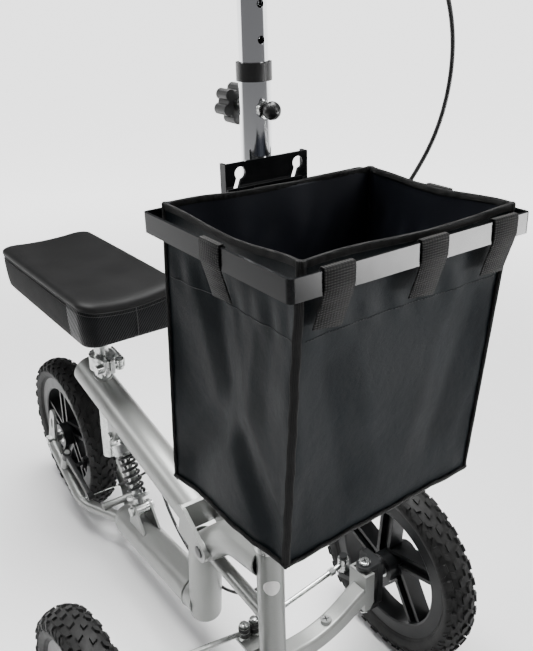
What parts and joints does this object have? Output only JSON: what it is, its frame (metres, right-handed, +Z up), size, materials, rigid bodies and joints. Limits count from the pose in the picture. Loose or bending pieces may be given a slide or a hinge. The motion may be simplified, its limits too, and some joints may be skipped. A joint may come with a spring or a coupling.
{
  "type": "knee scooter",
  "caption": "Steerable knee walker with pneumatic tyres, a sprung knee arm, a height-adjustable pad, a column with a fabric basket, and a rear rim brake.",
  "frame": {"origin": "on the ground, under the middle of the scooter's box", "axes": "+X forward, +Y to the rider's left, +Z up"},
  "size_m": [1.1208, 0.59, 1.104],
  "materials": {
    "bag_cloth": "woven",
    "black_gloss": "gloss",
    "black_plastic": "matte",
    "black_steel": "satin",
    "chrome": "polished",
    "pad_cover": "satin",
    "rubber": "matte",
    "silver_paint": "satin",
    "tyre": "matte",
    "webbing": "woven",
    "zinc": "satin"
  },
  "bodies": {
    "frame": {"main_post": "silver_paint", "lower_beam": "silver_paint", "rear_yoke": "silver_paint", "front_tube": "silver_paint", "brace_tube": "silver_paint", "head_tube": "silver_paint", "headset_cups": "zinc", "axle_beam": "silver_paint", "kingpin_brackets": "silver_paint", "kingpin_bolts": "zinc", "shock_bracket": "silver_paint", "rear_axle": "zinc", "frame_bolts": "zinc", "brake_cable_low": "rubber"},
    "swing_arm": {"knee_arm": "silver_paint", "arm_clevis": "silver_paint", "arm_pins": "zinc", "seat_sleeve": "zinc", "seat_clamp": "zinc", "clamp_skewer": "zinc", "shock_top_bracket": "silver_paint"},
    "seat": {"seat_post": "zinc", "seat_pan": "black_steel", "knee_pad": "pad_cover"},
    "clamp_lever": {"clamp_lever": "zinc"},
    "shock_lower": {"shock_body": "zinc", "shock_spring": "black_steel"},
    "shock_upper": {"shock_shaft": "zinc"},
    "steering": {"steering_shaft": "zinc", "pitman_arm": "silver_paint", "column_tube": "chrome", "column_collar": "black_plastic", "plunger_housing": "zinc", "basket_plate": "black_steel", "basket_frame": "black_steel", "basket_bag": "bag_cloth", "bag_straps": "webbing"},
    "handlebar": {"inner_tube": "chrome", "handlebar": "chrome", "grips": "rubber", "lever_clamp": "black_plastic", "brake_cable_high": "rubber"},
    "pull_pin": {"pull_pin": "black_plastic"},
    "star_knob": {"star_knob": "black_plastic"},
    "brake_lever": {"brake_lever": "black_steel"},
    "brake_arm_left": {"brake_arm_left": "black_steel"},
    "brake_arm_right": {"brake_arm_right": "black_steel"},
    "knuckle_left": {"knuckle_left": "black_steel"},
    "knuckle_right": {"knuckle_right": "black_steel"},
    "tie_rod_left": {"tie_rod_left": "zinc"},
    "tie_rod_right": {"tie_rod_right": "zinc"},
    "front_left_wheel": {"front_left_tyre": "tyre", "front_left_rim": "black_gloss", "front_left_bearings": "zinc"},
    "front_right_wheel": {"front_right_tyre": "tyre", "front_right_rim": "black_gloss", "front_right_bearings": "zinc"},
    "rear_wheel": {"rear_tyre": "tyre", "rear_rim": "black_gloss", "rear_bearings": "zinc"}
  },
  "joints": [
    {"name": "arm_pivot", "type": "hinge", "parent": "frame", "child": "swing_arm", "pos_m": [0.1656, 0, 0.243], "axis": [0, -1, 0], "range_deg": [0, 5], "stiffness_Nm_per_rad": 5000, "springref_deg": -0.69},
    {"name": "seat_height", "type": "slide", "parent": "swing_arm", "child": "seat", "axis": [0.0872, 0, 0.9962], "range_m": [-0.015, 0.125]},
    {"name": "clamp_open", "type": "hinge", "parent": "swing_arm", "child": "clamp_lever", "pos_m": [-0.17536, 0.02, 0.40034], "axis": [-0.0872, 0, -0.9962], "range_deg": [0, 120]},
    {"name": "shock_swing", "type": "hinge", "parent": "frame", "child": "shock_lower", "pos_m": [-0.1024, 0, 0.144], "axis": [0, 1, 0], "range_deg": [-8, 1]},
    {"name": "shock_slide", "type": "slide", "parent": "shock_lower", "child": "shock_upper", "axis": [-0.4244, 0, 0.9055], "range_m": [-0.03, 0.001], "deforming": ["shock_spring"]},
    {"name": "steering", "type": "hinge", "parent": "frame", "child": "steering", "pos_m": [0.3036, 0, 0.3], "axis": [0, 0, 1], "range_deg": [-30, 30]},
    {"name": "bar_height", "type": "slide", "parent": "steering", "child": "handlebar", "axis": [0, 0, 1], "range_m": [-0.099, 0.066]},
    {"name": "height_pin", "type": "slide", "parent": "steering", "child": "pull_pin", "axis": [1, 0, 0], "range_m": [0, 0.008], "stiffness_N_per_m": 1200, "springref_m": -0.004},
    {"name": "clamp_screw", "type": "hinge", "parent": "steering", "child": "star_knob", "pos_m": [0.2756, 0, 0.895], "axis": [-1, 0, 0], "continuous": true},
    {"name": "brake_lever", "type": "hinge", "parent": "handlebar", "child": "brake_lever", "pos_m": [0.32684, -0.15479, 1.088], "axis": [0, 0, -1], "range_deg": [0, 18], "stiffness_Nm_per_rad": 2, "springref_deg": -8.59},
    {"name": "brake_arm_left", "type": "hinge", "parent": "frame", "child": "brake_arm_left", "pos_m": [-0.3234, 0.05, 0.16], "axis": [-0.4907, 0, -0.8713], "range_deg": [0, 2]},
    {"name": "brake_arm_right", "type": "hinge", "parent": "frame", "child": "brake_arm_right", "pos_m": [-0.3234, -0.05, 0.16], "axis": [0.4907, 0, 0.8713], "range_deg": [0, 2]},
    {"name": "kingpin_left", "type": "hinge", "parent": "frame", "child": "knuckle_left", "pos_m": [0.2996, 0.174, 0.17], "axis": [0, 0, 1], "range_deg": [-30, 30]},
    {"name": "kingpin_right", "type": "hinge", "parent": "frame", "child": "knuckle_right", "pos_m": [0.2996, -0.174, 0.17], "axis": [0, 0, 1], "range_deg": [-30, 30]},
    {"name": "tie_rod_left", "type": "hinge", "parent": "steering", "child": "tie_rod_left", "pos_m": [0.2436, 0.009, 0.1345], "axis": [0, 0, 1], "range_deg": [-30, 30]},
    {"name": "tie_rod_right", "type": "hinge", "parent": "steering", "child": "tie_rod_right", "pos_m": [0.2436, -0.009, 0.1345], "axis": [0, 0, 1], "range_deg": [-30, 30]},
    {"name": "front_left_spin", "type": "hinge", "parent": "knuckle_left", "child": "front_left_wheel", "pos_m": [0.2816, 0.254, 0.158], "axis": [0, 1, 0], "continuous": true},
    {"name": "front_right_spin", "type": "hinge", "parent": "knuckle_right", "child": "front_right_wheel", "pos_m": [0.2816, -0.254, 0.158], "axis": [0, 1, 0], "continuous": true},
    {"name": "rear_spin", "type": "hinge", "parent": "frame", "child": "rear_wheel", "pos_m": [-0.4024, 0, 0.158], "axis": [0, 1, 0], "continuous": true}
  ],
  "couplings": [
    {"joint": "shock_swing", "follows": "arm_pivot", "ratio": -1.2865},
    {"joint": "shock_slide", "follows": "arm_pivot", "m_per_rad": -0.28419},
    {"joint": "kingpin_left", "follows": "steering", "ratio": 1},
    {"joint": "kingpin_right", "follows": "steering", "ratio": 1},
    {"joint": "tie_rod_left", "follows": "steering", "ratio": -1},
    {"joint": "tie_rod_right", "follows": "steering", "ratio": -1},
    {"joint": "brake_arm_left", "follows": "brake_lever", "ratio": 0.11},
    {"joint": "brake_arm_right", "follows": "brake_lever", "ratio": 0.11}
  ]
}
